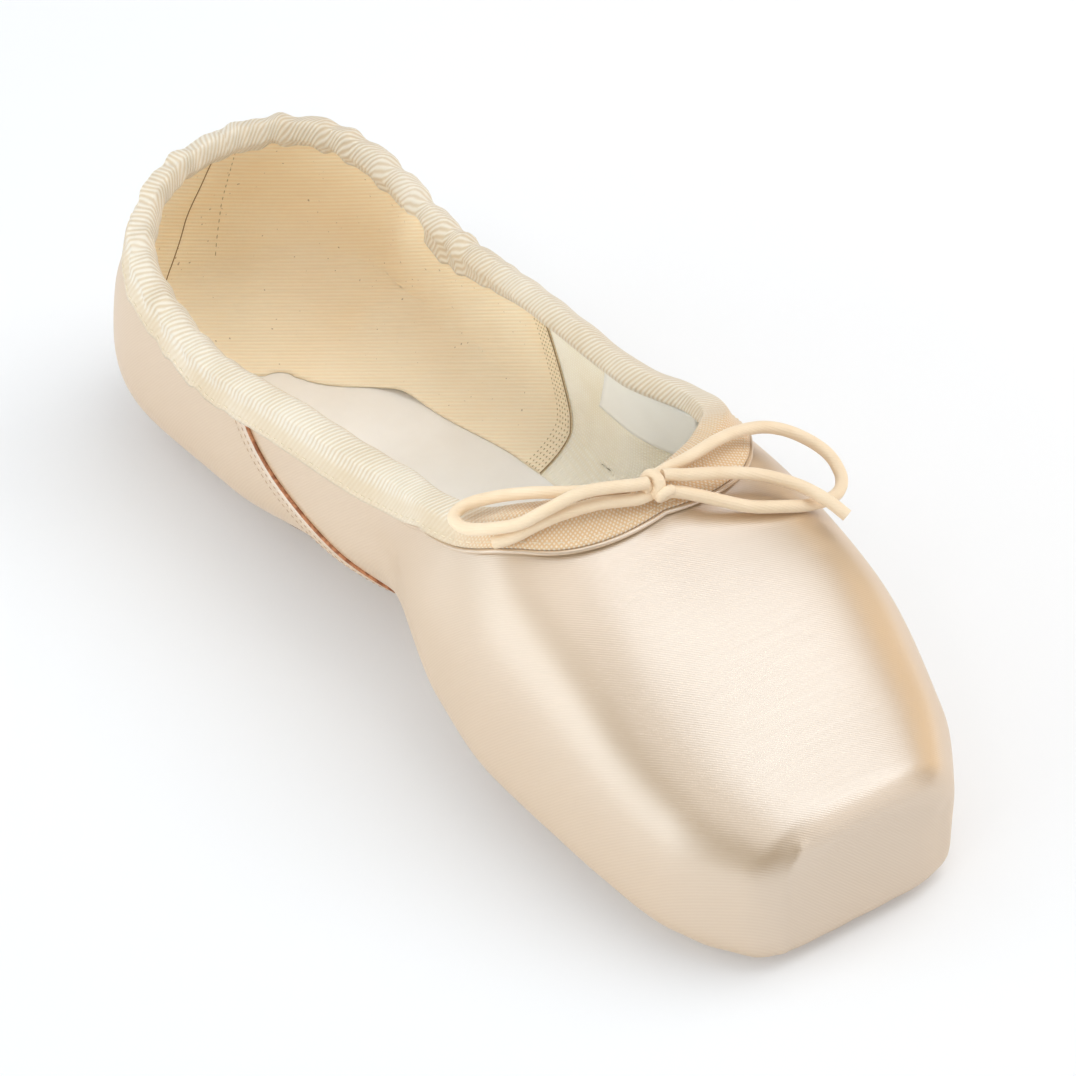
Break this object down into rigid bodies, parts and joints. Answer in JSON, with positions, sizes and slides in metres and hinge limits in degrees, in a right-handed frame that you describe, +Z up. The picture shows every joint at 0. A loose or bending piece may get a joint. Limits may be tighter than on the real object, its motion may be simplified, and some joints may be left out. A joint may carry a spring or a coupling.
{
  "type": "pointe shoe",
  "caption": "Satin pointe shoe with a stiffened toe box and flat platform, twill-bound collar, drawstring bow, thin leather outsole and pale insole.",
  "frame": {"origin": "floor under the middle of the shoe, halfway from heel back to platform", "axes": "+Z up from the floor, -Y towards the toe, +X across"},
  "size_m": [0.0811, 0.23, 0.0683],
  "materials": {
    "satin": "satin weave, soft gloss",
    "sole_leather": "matt buffed leather",
    "sock": "smooth pale leather",
    "tape": "cotton twill tape",
    "cord": "covered elastic cord"
  },
  "bodies": {
    "root": {"upper": "satin", "outsole": "sole_leather", "insole": "sock", "collar_binding": "tape", "bow_knot": "cord", "bow_loop_left": "cord", "bow_end_left": "cord", "bow_loop_right": "cord", "bow_end_right": "cord"}
  },
  "joints": []
}
